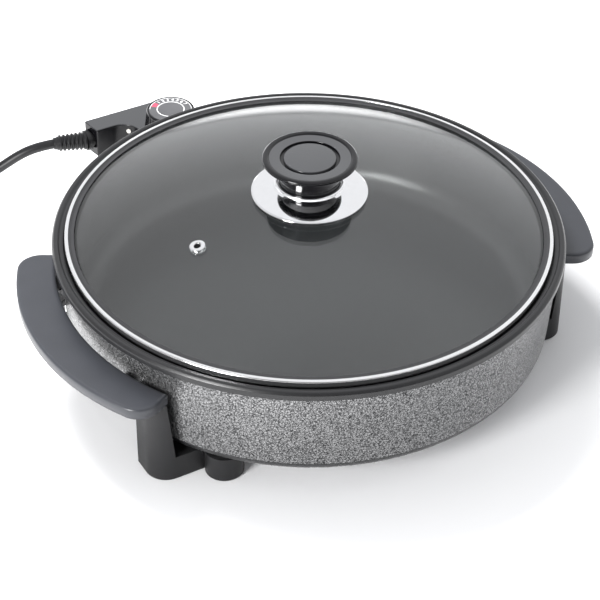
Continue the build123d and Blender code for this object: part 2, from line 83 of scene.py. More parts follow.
def make_world():
    """White studio: bright behind and above the object, dimmer low down on the camera's side."""
    world = bpy.data.worlds.new("studio")
    world.use_nodes = True
    tree = world.node_tree
    background = tree.nodes["Background"]
    direction = tree.nodes.new("ShaderNodeTexCoord")
    toward = tree.nodes.new("ShaderNodeVectorMath")
    toward.operation = "DOT_PRODUCT"
    toward.inputs[1].default_value = WORLD_BRIGHT_SIDE
    shade = tree.nodes.new("ShaderNodeMapRange")
    shade.interpolation_type = "SMOOTHSTEP"
    shade.inputs["From Min"].default_value = -0.5
    shade.inputs["From Max"].default_value = 0.75
    shade.inputs["To Min"].default_value = 0.12
    shade.inputs["To Max"].default_value = 1.0
    tree.links.new(direction.outputs["Generated"], toward.inputs[0])
    tree.links.new(toward.outputs["Value"], shade.inputs["Value"])
    tree.links.new(shade.outputs["Result"], background.inputs["Strength"])
    background.inputs["Color"].default_value = (0.97, 0.98, 1.0, 1)
    bpy.context.scene.world = world


def make_stage():
    mesh = bpy.data.meshes.new("floor")
    corners = [(x * FLOOR_HALF, y * FLOOR_HALF, 0) for x, y in ((-1, -1), (1, -1), (1, 1), (-1, 1))]
    mesh.from_pydata(corners, [], [(0, 1, 2, 3)])
    floor = bpy.data.objects.new("floor", mesh)
    bpy.context.scene.collection.objects.link(floor)
    paper = bpy.data.materials.new("paper")
    paper.use_nodes = True
    shader = paper.node_tree.nodes["Principled BSDF"]
    shader.inputs["Base Color"].default_value = (0.93, 0.93, 0.935, 1)
    shader.inputs["Roughness"].default_value = 0.8
    shader.inputs["Specular IOR Level"].default_value = 0.1
    mesh.materials.append(paper)
    bpy.context.scene.view_settings.view_transform = "Standard"
    make_world()
    softbox("overhead", (-0.15, 1.15, 1.6), (0.9, 0.9), 62, reflected=False)
    softbox("left_key", (-1.45, -0.55, 0.62), (0.5, 0.7), 32)


# ---------------------------------------------------------------- material helpers
class Shader:
    """A node material: its Principled shader, and short calls for the nodes before it."""

    def __init__(self, name, colour, roughness, metallic=0.0):
        self.material = bpy.data.materials.new(name)
        self.material.use_nodes = True
        self.tree = self.material.node_tree
        self.principled = self.tree.nodes["Principled BSDF"]
        self.set("Base Color", (*colour, 1))
        self.set("Roughness", roughness)
        self.set("Metallic", metallic)

    def set(self, socket, value):
        self.principled.inputs[socket].default_value = value

    def node(self, kind, **settings):
        made = self.tree.nodes.new(kind)
        for key, value in settings.items():
            setattr(made, key, value)
        return made

    def link(self, source, target):
        self.tree.links.new(source, target)

    def place(self, scale=(1, 1, 1)):
        """Object coordinates, in metres, scaled."""
        coordinates = self.node("ShaderNodeTexCoord")
        mapping = self.node("ShaderNodeMapping")
        mapping.inputs["Scale"].default_value = scale
        self.link(coordinates.outputs["Object"], mapping.inputs["Vector"])
        return mapping.outputs["Vector"]

    def noise(self, size, detail=3.0, roughness=0.5, vector=None):
        """Noise whose features are about size millimetres."""
        made = self.node("ShaderNodeTexNoise")
        made.inputs["Scale"].default_value = 1 / (size * MM)
        made.inputs["Detail"].default_value = detail
        made.inputs["Roughness"].default_value = roughness
        self.link(vector or self.place(), made.inputs["Vector"])
        return made.outputs["Fac"]

    def ramp(self, source, stops):
        """Ramp of greys; stops are (position, grey)."""
        made = self.node("ShaderNodeValToRGB")
        elements = made.color_ramp.elements
        while len(elements) < len(stops):
            elements.new(0.5)
        for element, (position, grey) in zip(elements, stops):
            element.position = position
            element.color = (grey, grey, grey, 1)
        self.link(source, made.inputs["Fac"])
        return made.outputs["Color"]

    def spread(self, source, low, high):
        """The source, from 0 to 1, as a number from low to high."""
        made = self.node("ShaderNodeMapRange")
        made.inputs["To Min"].default_value = low
        made.inputs["To Max"].default_value = high
        self.link(source, made.inputs["Value"])
        return made.outputs["Result"]

    def mix(self, factor, first, second):
        """Blend of two constant colours."""
        made = self.node("ShaderNodeMix", data_type="RGBA")
        inputs = {socket.name: socket for socket in made.inputs if socket.enabled}
        self.link(factor, inputs["Factor"])
        inputs["A"].default_value = (*first, 1)
        inputs["B"].default_value = (*second, 1)
        return [socket for socket in made.outputs if socket.enabled][0]

    def product(self, first, second):
        made = self.node("ShaderNodeMath", operation="MULTIPLY")
        for target, source in zip(made.inputs, (first, second)):
            self.link(source, target)
        return made.outputs["Value"]

    def bump(self, height, depth, strength):
        """Bump of the given depth in millimetres."""
        made = self.node("ShaderNodeBump")
        made.inputs["Distance"].default_value = depth * MM
        made.inputs["Strength"].default_value = strength
        self.link(height, made.inputs["Height"])
        self.link(made.outputs["Normal"], self.principled.inputs["Normal"])

    def drive(self, socket, source):
        self.link(source, self.principled.inputs[socket])


# ---------------------------------------------------------------- materials
def moulded(name, colour, roughness, grain=0.35, variation=0.12, coat=0.0, specular=0.5):
    """Moulded plastic: fine grain, slightly uneven gloss and colour."""
    shader = Shader(name, colour, roughness)
    fine = shader.noise(grain, 4, 0.6)
    broad = shader.noise(18, 2)
    dark = tuple(value * (1 - variation) for value in colour)
    light = tuple(value * (1 + variation) for value in colour)
    shader.drive("Base Color", shader.mix(broad, dark, light))
    shader.drive("Roughness", shader.spread(shader.noise(7, 3), roughness * 0.86, roughness * 1.14))
    shader.bump(fine, 0.015, 0.5)
    shader.set("Specular IOR Level", specular)
    if coat:
        shader.set("Coat Weight", coat)
        shader.set("Coat Roughness", 0.08)
    return shader.material


COVER_TOP_SHEEN_Z = (51.2, 51.9)   # heights between which the controller's finish and its painted top sheen change


def controller_plastic():
    """Polished black sides under a satin grey top, with a soft change between them at the top edge. The
    top's lighter grey is partly its satin finish and partly a painted sheen for its reflection of the bright
    backdrop.
    """
    shader = Shader("controller_plastic", (0.02, 0.02, 0.02), 0.2)
    height = shader.node("ShaderNodeSeparateXYZ")
    shader.link(shader.place(), height.inputs["Vector"])
    top = shader.node("ShaderNodeMapRange")
    top.inputs["From Min"].default_value = COVER_TOP_SHEEN_Z[0] * MM
    top.inputs["From Max"].default_value = COVER_TOP_SHEEN_Z[1] * MM
    shader.link(height.outputs["Z"], top.inputs["Value"])
    top = top.outputs["Result"]
    # painted sheen: the top's lighter base colour partly stands in for its reflection of the bright
    # backdrop; its satin finish is real
    shader.drive("Base Color", shader.mix(top, (0.005, 0.005, 0.006), (0.052, 0.053, 0.056)))
    shader.drive("Roughness", shader.spread(top, 0.12, 0.32))
    shader.set("Specular IOR Level", 0.32)
    shader.bump(shader.noise(0.4, 4, 0.6), 0.012, 0.4)
    return shader.material


def metal(name, colour, roughness, stretch=(1, 1, 1), grain=0.5, depth=0.004):
    """Bare metal with fine brushing or drawing marks."""
    shader = Shader(name, colour, roughness, 1.0)
    marks = shader.noise(grain, 3, 0.6, shader.place(stretch))
    shader.drive("Roughness", shader.spread(marks, roughness * 0.75, roughness * 1.3))
    shader.drive("Base Color", shader.mix(shader.noise(6, 3), tuple(v * 0.93 for v in colour), colour))
    shader.bump(marks, depth, 0.4)
    return shader.material


def speckled_paint():
    """Grey hammered speckle: bright worm-like metallic flecks on a dark ground, each slightly raised."""
    shader = Shader("speckled_paint", (0.3, 0.3, 0.3), 0.42, 0.7)
    cell, warp_size = 1.7 * MM, 1.5 * MM
    place = shader.place()
    warp = shader.node("ShaderNodeTexNoise")
    warp.inputs["Scale"].default_value = 1 / cell
    warp.inputs["Detail"].default_value = 2
    shader.link(place, warp.inputs["Vector"])
    shift = shader.node("ShaderNodeVectorMath", operation="MULTIPLY_ADD")
    shift.inputs[1].default_value = (warp_size, warp_size, warp_size)
    shader.link(warp.outputs["Color"], shift.inputs[0])
    shader.link(place, shift.inputs[2])
    cells = shader.node("ShaderNodeTexVoronoi", feature="DISTANCE_TO_EDGE")
    cells.inputs["Scale"].default_value = 1 / cell
    shader.link(shift.outputs["Vector"], cells.inputs["Vector"])
    flecks = shader.ramp(cells.outputs["Distance"], ((0.02, 0.0), (0.13, 1.0)))
    tone = shader.noise(1.2, 2, 0.5)
    patch = shader.ramp(tone, ((0.36, 0.2), (0.55, 1.0)))
    height = shader.product(flecks, patch)
    shader.drive("Base Color", shader.mix(height, (0.022, 0.0225, 0.024), (0.37, 0.37, 0.373)))
    shader.drive("Roughness", shader.spread(height, 0.34, 0.22))
    shader.bump(height, 0.05, 0.55)
    return shader.material


def nonstick():
    """Dark charcoal non-stick coating with a fine metallic sparkle."""
    shader = Shader("nonstick", (0.03, 0.031, 0.034), 0.36)
    spots = shader.node("ShaderNodeTexVoronoi")
    spots.inputs["Scale"].default_value = 1 / (0.9 * MM)
    shader.link(shader.place(), spots.inputs["Vector"])
    sparkle = shader.ramp(spots.outputs["Distance"], ((0.0, 1.0), (0.16, 0.0)))
    shader.drive("Base Color", shader.mix(sparkle, (0.009, 0.0095, 0.0105), (0.16, 0.16, 0.17)))
    shader.drive("Roughness", shader.spread(shader.noise(9, 3), 0.3, 0.42))
    shader.bump(shader.noise(0.7, 2), 0.02, 0.5)
    return shader.material


def bare_casting():
    shader = Shader("bare_casting", (0.42, 0.42, 0.43), 0.5, 0.85)
    shader.drive("Roughness", shader.spread(shader.noise(2, 4), 0.4, 0.62))
    shader.drive("Base Color", shader.mix(shader.noise(14, 4), (0.33, 0.33, 0.34), (0.5, 0.5, 0.51)))
    shader.bump(shader.noise(0.8, 4), 0.06, 0.5)
    return shader.material


def clear_glass():
    """Tempered glass; lamps shine through it, so that they light the pan."""
    shader = Shader("clear_glass", (0.97, 0.985, 0.98), 0.0)
    shader.set("Transmission Weight", 1.0)
    shader.set("IOR", 1.5)
    through = shader.node("ShaderNodeBsdfTransparent")
    through.inputs["Color"].default_value = (0.93, 0.95, 0.94, 1)
    path = shader.node("ShaderNodeLightPath")
    mixer = shader.node("ShaderNodeMixShader")
    shader.link(path.outputs["Is Shadow Ray"], mixer.inputs[0])
    shader.link(shader.principled.outputs[0], mixer.inputs[1])
    shader.link(through.outputs[0], mixer.inputs[2])
    shader.link(mixer.outputs[0], shader.tree.nodes["Material Output"].inputs["Surface"])
    return shader.material


MATERIALS = {
    "speckled": speckled_paint(),
    "nonstick": nonstick(),
    "bare_casting": bare_casting(),
    "glass": clear_glass(),
    "chrome": metal("chrome", (0.9, 0.9, 0.91), 0.05, grain=2.0, depth=0.0005),
    "band_steel": metal("band_steel", (0.95, 0.95, 0.95), 0.12, (1, 1, 6), 1.0, 0.001),
    "rim": moulded("rim", (0.012, 0.012, 0.013), 0.3, 0.5),
    "dial_plate": moulded("dial_plate", (0.085, 0.085, 0.09), 0.35, 0.5, 0.4),
    "print_white": moulded("print_white", (0.8, 0.8, 0.8), 0.4, variation=0.02),
    "print_red": moulded("print_red", (0.55, 0.07, 0.12), 0.4, variation=0.05),
    "screw_steel": metal("screw_steel", (0.62, 0.62, 0.62), 0.3),
    "terminal": metal("terminal", (0.7, 0.69, 0.66), 0.22, (1, 0.2, 1)),
    "element": metal("element", (0.2, 0.19, 0.18), 0.48, depth=0.02),
    "brass": metal("brass", (0.75, 0.58, 0.28), 0.26),
    "gloss_black": moulded("gloss_black", (0.004, 0.004, 0.005), 0.12, 0.6, 0.1),
    "knob_face": moulded("knob_face", (0.042, 0.043, 0.046), 0.22, 0.6, 0.05, coat=0.5),
    "grip": moulded("grip", (0.038, 0.040, 0.047), 0.34),
    "leg": moulded("leg", (0.011, 0.011, 0.012), 0.46, specular=0.35),
    "shroud": moulded("shroud", (0.03, 0.03, 0.032), 0.5),
    "cover": controller_plastic(),
    "silicone": moulded("silicone", (0.03, 0.03, 0.032), 0.6, 0.8),
    "rubber": moulded("rubber", (0.022, 0.022, 0.022), 0.7, 0.8),
    "cord": moulded("cord", (0.007, 0.007, 0.008), 0.42, 0.6),
    "plug": moulded("plug", (0.018, 0.018, 0.019), 0.45, 0.5),
    "ceramic": moulded("ceramic", (0.78, 0.76, 0.7), 0.35),
    "sleeve": moulded("sleeve", (0.3, 0.17, 0.08), 0.6),
    "lens": moulded("lens", (0.8, 0.78, 0.72), 0.15, coat=0.5),
}


# ---------------------------------------------------------------- mesh helpers
def rounded(corners, steps=6):
    """Outline with each (x, y, radius) corner turned into an arc tangent to its two sides."""
    outline = []
    count = len(corners)
    for index, (x, y, radius) in enumerate(corners):
        here = Vector((x, y))
        before = Vector(corners[index - 1][:2]) - here
        after = Vector(corners[(index + 1) % count][:2]) - here
        if radius <= 0:
            outline.append((x, y))
            continue
        half = before.angle(after) / 2
        reach = min(radius / math.tan(half), 0.48 * before.length, 0.48 * after.length)
        radius = reach * math.tan(half)
        start, end = here + before.normalized() * reach, here + after.normalized() * reach
        centre = here + (before.normalized() + after.normalized()).normalized() * radius / math.sin(half)
        first, last = start - centre, end - centre
        sweep = first.angle_signed(last)
        for step in range(steps + 1):
            spoke = first.copy()
            spoke.rotate(Matrix.Rotation(-sweep * step / steps, 2))
            outline.append(tuple(centre + spoke))
    return outline


def new_object(name, mesh, materials, smooth=True):
    obj = bpy.data.objects.new(name, mesh)
    bpy.context.scene.collection.objects.link(obj)
    for key in materials:
        mesh.materials.append(MATERIALS[key])
    for polygon in mesh.polygons:
        polygon.use_smooth = smooth
    return obj


def lathe_mesh(name, outline, steps=192, paint=None):
    """Closed solid turned about Z from a closed (r, z) outline in millimetres; paint(r, z) picks a slot."""
    made = bmesh.new()
    rings = []
    for radius, height in outline:
        if radius < 1e-6:
            rings.append([made.verts.new((0, 0, height * MM))])
            continue
        rings.append([
            made.verts.new((radius * MM * math.cos(TURN * k / steps),
                            radius * MM * math.sin(TURN * k / steps), height * MM))
            for k in range(steps)
        ])
    count = len(outline)
    for index in range(count):
        following = (index + 1) % count
        first, second = rings[index], rings[following]
        if len(first) == 1 and len(second) == 1:
            continue
        radius = (outline[index][0] + outline[following][0]) / 2
        height = (outline[index][1] + outline[following][1]) / 2
        slot = paint(radius, height) if paint else 0
        for k in range(steps):
            following_k = (k + 1) % steps
            corners = [first[k % len(first)], first[following_k % len(first)],
                       second[following_k % len(second)], second[k % len(second)]]
            unique = list(dict.fromkeys(corners))
            face = made.faces.new(unique)
            face.material_index = slot
    bmesh.ops.recalc_face_normals(made, faces=made.faces)
    mesh = bpy.data.meshes.new(name)
    made.to_mesh(mesh)
    made.free()
    return mesh


def sharpen(obj, degrees=35):
    """Smooth shading with real creases kept at sharp corners."""
    obj.data.set_sharp_from_angle(angle=math.radians(degrees))


def boolean(obj, other, operation):
    modifier = obj.modifiers.new("cut", "BOOLEAN")
    modifier.operation = operation
    modifier.solver = "EXACT"
    modifier.object = other
    apply_modifiers(obj)
    bpy.data.objects.remove(other)


def apply_modifiers(obj):
    bpy.context.view_layer.update()
    graph = bpy.context.evaluated_depsgraph_get()
    mesh = bpy.data.meshes.new_from_object(obj.evaluated_get(graph))
    obj.modifiers.clear()
    obj.data = mesh


def bar(low, high, bevel):
    """Box with rounded edges between two corners in millimetres, as a tool for a boolean."""
    made = bmesh.new()
    bmesh.ops.create_cube(made, size=1.0)
    size = Vector(high) - Vector(low)
    middle = (Vector(high) + Vector(low)) / 2
    for vertex in made.verts:
        vertex.co = Vector((middle[k] + vertex.co[k] * size[k] for k in range(3))) * MM
    bmesh.ops.bevel(made, geom=made.edges[:], offset=bevel * MM, segments=3, profile=0.5,
                    affect="EDGES")
    mesh = bpy.data.meshes.new("bar")
    made.to_mesh(mesh)
    made.free()
    return new_object("bar", mesh, [])


def pin(radius, start, end, steps=32):
    """Cylinder between two points in millimetres, as a tool for a boolean."""
    made = bmesh.new()
    axis = Vector(end) - Vector(start)
    bmesh.ops.create_cone(made, cap_ends=True, segments=steps, radius1=radius * MM, radius2=radius * MM,
                          depth=axis.length * MM)
    turn = axis.to_track_quat("Z", "Y").to_matrix().to_4x4()
    made.transform(Matrix.Translation((Vector(start) + Vector(end)) / 2 * MM) @ turn)
    mesh = bpy.data.meshes.new("pin")
    made.to_mesh(mesh)
    made.free()
    return new_object("pin", mesh, [])


def stacked_rings(name, rings):
    """Closed solid from rings of equally many points, bottom to top."""
    made = bmesh.new()
    levels = [[made.verts.new(Vector(point) * MM) for point in ring] for ring in rings]
    for low, high in zip(levels, levels[1:]):
        for k in range(len(low)):
            following = (k + 1) % len(low)
            made.faces.new((low[k], low[following], high[following], high[k]))
    made.faces.new(list(reversed(levels[0])))
    made.faces.new(levels[-1])
    bmesh.ops.recalc_face_normals(made, faces=made.faces)
    mesh = bpy.data.meshes.new(name)
    made.to_mesh(mesh)
    made.free()
    return mesh


def place_piece(obj, body, slot, *replaced):
    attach(obj, body)
    if replaced:
        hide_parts(*replaced)


# ---------------------------------------------------------------- the lead
CORD_D = 7.4
COIL_AT = (-195.2, 265.1)
COIL_R = (41.1, 33.7)     # middle radii of the outer and inner turns
COIL_Z = (3.7, 11.1)      # heights of the lower and upper turns
COIL_START = 53.13        # degrees round the coil where the lead joins it
COIL_END = 180.0          # degrees where the tail leaves it
COIL_TURNS = 3 + (COIL_END - COIL_START) / 360
COIL_STEPS = 16           # control points in one turn
COIL_PUSH = 0.7           # how far they are pushed out, since the smooth curve runs inside them
LEAD_ROUTE = [
    (-77.0, 247.3, 41.0), (-88.5, 250.4, 40.1), (-101.2, 253.9, 35.8), (-114.0, 258.8, 26.8),
    (-127.0, 266.4, 15.6), (-140.8, 275.9, 7.2), (-154.7, 286.15, 3.9),
]
TAIL_ROUTE = [(-236.9, 248.6, 12.3), (-237.8, 233.1, 16.0), (-238.0, 218.6, 18.2)]


def coil_points():
    """Outer then inner turn on the floor, then inner and outer turn on top of them."""
    stops = [(0.0, COIL_R[0], COIL_Z[0]), (0.82, COIL_R[0], COIL_Z[0]), (1.06, COIL_R[1], COIL_Z[0]),
             (1.82, COIL_R[1], COIL_Z[0]), (2.12, COIL_R[1], COIL_Z[1]), (2.78, COIL_R[1], COIL_Z[1]),
             (3.02, COIL_R[0], COIL_Z[1]), (4.0, COIL_R[0], COIL_Z[1])]
    stretch = 1 / math.cos(math.pi / COIL_STEPS) ** COIL_PUSH
    count = round(COIL_TURNS * COIL_STEPS)
    points = []
    for step in range(count + 1):
        turn = COIL_TURNS * step / count
        for (t0, r0, z0), (t1, r1, z1) in zip(stops, stops[1:]):
            if t0 <= turn <= t1:
                break
        share = (turn - t0) / (t1 - t0)
        share = share * share * (3 - 2 * share)
        radius, height = r0 + (r1 - r0) * share, z0 + (z1 - z0) * share
        angle = math.radians(COIL_START) + TURN * turn
        points.append((COIL_AT[0] + radius * stretch * math.cos(angle),
                       COIL_AT[1] + radius * stretch * math.sin(angle), height))
    return points


def make_lead():
    points = LEAD_ROUTE + coil_points() + TAIL_ROUTE
    data = bpy.data.curves.new("mains_lead", "CURVE")
    data.dimensions = "3D"
    data.bevel_depth = CORD_D / 2 * MM
    data.bevel_resolution = 6
    data.resolution_u = 8
    data.use_fill_caps = True
    spline = data.splines.new("NURBS")
    spline.points.add(len(points) - 1)
    for point, place in zip(spline.points, points):
        point.co = (*(Vector(place) * MM), 1)
    spline.order_u = 3
    spline.use_endpoint_u = True
    lead = bpy.data.objects.new("mains_lead", data)
    bpy.context.scene.collection.objects.link(lead)
    data.materials.append(MATERIALS["cord"])
    place_piece(lead, "controller", "cord_black", "cord_tube", "cord_tail", "cord_coil")


# ---------------------------------------------------------------- pan
LEG_FOOT = (113.2, 90.6)
BOSS_Z = (18.2, 20.5)
TAB_X, TAB_Y, TAB_Z = (155, 178), (44, 55), (57, 62.3)    # casting tabs under the grips
PILLAR_X, PILLAR_Y, PILLAR_Z = 29, (160, 172), 41         # pillars for the terminal shroud
PAN_OUTLINE = [
    (0, 19, 0), (89.4, 19, 0.8), (89.4, 13.6, 0.4), (90.6, 12.6, 0.4), (99.4, 12.6, 0.4), (100.6, 13.6, 0.4),
    (100.6, 19, 0.8), (162.1, 19, 14), (166.4, 86.3, 0.5), (169.2, 86.3, 0.8), (170, 87.2, 0.6),
    (170, 90.7, 1.6), (168.5, 92.5, 1.4), (166.3, 92.5, 1.2), (165.0, 90.9, 0.8), (163.7, 90.9, 0.6),
    (162.3, 90.0, 0.7), (162.3, 85.2, 0.4), (159, 85.2, 0.8), (157.3, 24.5, 16), (0, 24.5, 0),
]


def pan_slot(radius, height):
    """0 speckled wall, 1 non-stick inside, 2 bare underside, 3 satin rim."""
    underside = height < 21 and radius < 156
    rim = height > 86.2 and radius > 162.0
    outside = radius > 162.0 + (height - 19) * 0.06
    if underside:
        return 2
    if rim:
        return 3
    return 0 if outside or height < 24 else 1


def make_pan():
    mesh = lathe_mesh("pan", rounded(PAN_OUTLINE, 8), 256, pan_slot)
    pan = new_object("pan", mesh, ["speckled", "nonstick", "bare_casting", "rim"])
    for x in (-1, 1):
        for y in (-1, 1):
            across = sorted(x * value for value in TAB_X)
            along = sorted(y * value for value in TAB_Y)
            low, high = zip(across, along, TAB_Z)
            boolean(pan, bar(low, high, 0.8), "UNION")
            foot = (x * LEG_FOOT[0], y * LEG_FOOT[1])
            boolean(pan, pin(8, (*foot, BOSS_Z[0]), (*foot, BOSS_Z[1])), "UNION")
        start, end = [(x * PILLAR_X, y, PILLAR_Z) for y in PILLAR_Y]
        boolean(pan, pin(5, start, end), "UNION")
    boolean(pan, bar((-6.3, 158.5, 29), (6.3, 171, 43), 0.8), "UNION")
    sharpen(pan)
    place_piece(pan, "pan", "speckled_casting", "pan_vessel")


# ---------------------------------------------------------------- lid
APEX_Z = 123.5
DOME_R = 413.0
DOME_Z = APEX_Z - DOME_R
GLASS_T = 4.0
VENT_X, VENT_Y = -87.5, -9.0
VENT = Vector((VENT_X, VENT_Y, DOME_Z + math.sqrt(DOME_R ** 2 - VENT_X ** 2 - VENT_Y ** 2)))


def on_dome(radius, sphere):
    return DOME_Z + math.sqrt(sphere ** 2 - radius ** 2)


def make_glass():
    rim, hole, steps = 159.8, 4.0, 40
    radii = [hole + (rim - hole) * k / steps for k in range(steps + 1)]
    upper = [(r, on_dome(r, DOME_R)) for r in radii]
    lower = [(r, on_dome(r, DOME_R - GLASS_T)) for r in reversed(radii)]
    glass = new_object("glass_dome", lathe_mesh("glass_dome", upper + lower, 256), ["glass"])
    outward = (VENT - Vector((0, 0, DOME_Z))).normalized()
    boolean(glass, pin(3.7, VENT - outward * 10, VENT + outward * 10, 48), "DIFFERENCE")
    sharpen(glass)
    place_piece(glass, "lid", "lid_glass", "lid_glass")


def turned(name, corners, material, body, slot, *replaced, steps=192, paint=None):
    materials = [material] if isinstance(material, str) else material
    obj = new_object(name, lathe_mesh(name, rounded(corners), steps, paint), materials)
    sharpen(obj, 40)
    place_piece(obj, body, slot, *replaced)


def make_lid():
    make_glass()
    turned("lid_band", [
        (157.0, 85.5, 0.2), (161.5, 85.5, 0.8), (161.5, 94.4, 1.3), (160.2, 95.0, 1.2), (159.4, 95.0, 0.4),
        (159.0, 94.7, 0.2), (159.0, 94.4, 0), (160.2, 94.4, 0.3), (160.9, 93.6, 0.3), (160.9, 86.1, 0.2),
        (157.0, 86.1, 0),
    ], "band_steel", "lid", "band_steel", "lid_rim_band", steps=256)
    turned("knob_skirt_chrome", [
        (4.0, 128.6, 0), (20.2, 128.6, 1.0), (36.8, 122.1, 2.0), (37.9, 121.85, 0.2), (38.3, 122.2, 0.2),
        (38.3, 123.0, 0.4), (37.2, 123.8, 0.8), (24.4, 128.4, 2.0), (22.9, 129.2, 0.4), (22.9, 130.6, 0.5),
        (22.2, 131.2, 0.5), (20.9, 131.2, 0.3), (20.6, 130.6, 0.2), (20.6, 129.8, 0), (4.0, 129.8, 0),
    ], "chrome", "lid", "skirt_chrome", "knob_skirt")
    turned("knob", [
        (3.9, 129.85, 0), (20.4, 129.85, 0.4), (20.4, 133.0, 2.0), (22.4, 140.4, 4.0), (26.4, 144.4, 2.0),
        (30.2, 145.9, 1.0), (31.1, 146.8, 0.9), (31.1, 148.2, 1.0), (29.7, 149.4, 1.5), (27.6, 149.2, 1.2),
        (26.9, 148.2, 0.5), (19.5, 148.2, 0.45), (19.3, 146.4, 0.3), (17.1, 146.4, 0.1), (17.1, 144.0, 0),
        (3.9, 144.0, 0),
    ], ["gloss_black", "knob_face"], "lid", "gloss_black", "knob_body",
        paint=lambda radius, height: 1 if height > 148.15 and 19.6 < radius < 26.6 else 0)
    turned("knob_top_cap", [
        (0, 144.05, 0), (17.0, 144.05, 0), (17.0, 148.2, 0.5), (0, 148.2, 0),
    ], "knob_face", "lid", "gloss_black", "knob_cap")


def make_vent():
    """Steel eyelet through the glass, square to the dome."""
    eyelet = new_object("vent_eyelet", lathe_mesh("vent_eyelet", rounded([
        (2.2, -4.7, 0.2), (5.0, -4.7, 0.3), (5.0, -4.1, 0.2), (3.6, -4.1, 0), (3.6, 0.05, 0),
        (5.25, 0.05, 0.2), (5.2, 0.7, 0.5), (4.2, 1.15, 0.6), (3.0, 1.15, 0.6), (2.2, 0.6, 0.3),
    ]), 64), ["chrome"])
    outward = VENT - Vector((0, 0, DOME_Z))
    turn = outward.to_track_quat("Z", "Y").to_matrix().to_4x4()
    eyelet.data.transform(Matrix.Translation(VENT * MM) @ turn)
    sharpen(eyelet, 40)
    place_piece(eyelet, "lid", "band_steel", "vent_grommet")


# ---------------------------------------------------------------- handle grips
GRIP_ARC, GRIP_SHIFT, GRIP_INNER = 169.5, 27.5, 168.8
GRIP_END = math.radians(29.3)   # from X to the grip's radial end
GRIP_CORNER = 15.0
GRIP_STEPS = 40
TONGUE_ANGLE = math.radians(25.5)   # keys between a grip and its legs
TONGUE_R, TONGUE_Z = 170.2, 59.4
TONGUE_SIZE = (2.2, 12.0, 7.0)
# Height and inset of each ring of a grip, bottom to top.
GRIP_TOP = [(62.5, 1.2), (62.7, 0.5), (63.2, 0.05), (68.6, 0.0), (69.3, 0.12), (69.9, 0.45), (70.3, 0.95),
            (70.5, 1.7), (70.5, 3.0), (70.45, 5.0)]


def arc_of(centre, radius, start, end, steps):
    return [(centre[0] + radius * math.cos(start + (end - start) * k / steps),
             centre[1] + radius * math.sin(start + (end - start) * k / steps)) for k in range(steps + 1)]


def grip_plan(inset):
    """Plan of the right grip drawn in by inset: outer arc, corner, radial end, arc beside the wall."""
    outer, inner = GRIP_ARC - inset, GRIP_INNER + inset
    corner, small = max(GRIP_CORNER - inset, 0.8), 0.8
    along = Vector((math.cos(GRIP_END), math.sin(GRIP_END)))
    across = Vector((math.sin(GRIP_END), -math.cos(GRIP_END)))
    shift = Vector((GRIP_SHIFT, 0))
    foot = across * (inset + corner)
    offset = foot - shift
    forward = offset.dot(along)
    reach = -forward + math.sqrt(forward ** 2 + (outer - corner) ** 2 - offset.length_squared)
    big_centre = foot + along * reach
    tip = (big_centre - shift).angle_signed(Vector((1, 0)))
    near_foot = across * (inset + small)
    near_reach = math.sqrt((inner + small) ** 2 - near_foot.length_squared)
    near_centre = near_foot + along * near_reach
    near = math.atan2(near_centre.y, near_centre.x)
    upper = arc_of((GRIP_SHIFT, 0), outer, 0, tip, GRIP_STEPS)
    upper += arc_of(big_centre, corner, tip, GRIP_END + math.pi / 2, 12)[1:]
    upper += arc_of(near_centre, small, GRIP_END + math.pi / 2, near + math.pi, 4)
    upper += arc_of((0, 0), inner, near, 0, GRIP_STEPS)[1:]
    lower = [(x, -y) for x, y in reversed(upper[1:-1])]
    return upper + lower


def tongue_bar(angle):
    """Key under a grip, its length across the spoke at an angle, as a tool for a boolean."""
    half = [value / 2 for value in TONGUE_SIZE]
    tool = bar([-value for value in half], half, 0.4)
    turn = Matrix.Rotation(angle, 4, "Z")
    tool.data.transform(turn @ Matrix.Translation(Vector((TONGUE_R, 0, TONGUE_Z)) * MM))
    return tool


def make_grip(side, name, replaced):
    rings = [[(side * x, y, z) for x, y in grip_plan(inset)] for z, inset in GRIP_TOP]
    grip = new_object(name, stacked_rings(name, rings), ["grip"])
    for end in (-1, 1):
        angle = end * TONGUE_ANGLE
        boolean(grip, tongue_bar(math.pi - angle if side < 0 else angle), "UNION")
    sharpen(grip, 50)
    place_piece(grip, "pan", "grip_moulding", replaced)


# ---------------------------------------------------------------- thermostat dial and strain relief
DIAL_AT = Vector((0, 204, 0))
DIAL_TOP = 72.0
RIBS = 40
RIB_DEPTH = 0.75
RIB_MIN_R, RIB_Z = 17.6, (55.0, 70.5)   # where the dial's side is ribbed
DIGIT_SIZE, DIGIT_R = 4.2, 12.8
DIGIT_FIRST, DIGIT_STEP = 106, 16.5     # degrees to the first number and between two numbers


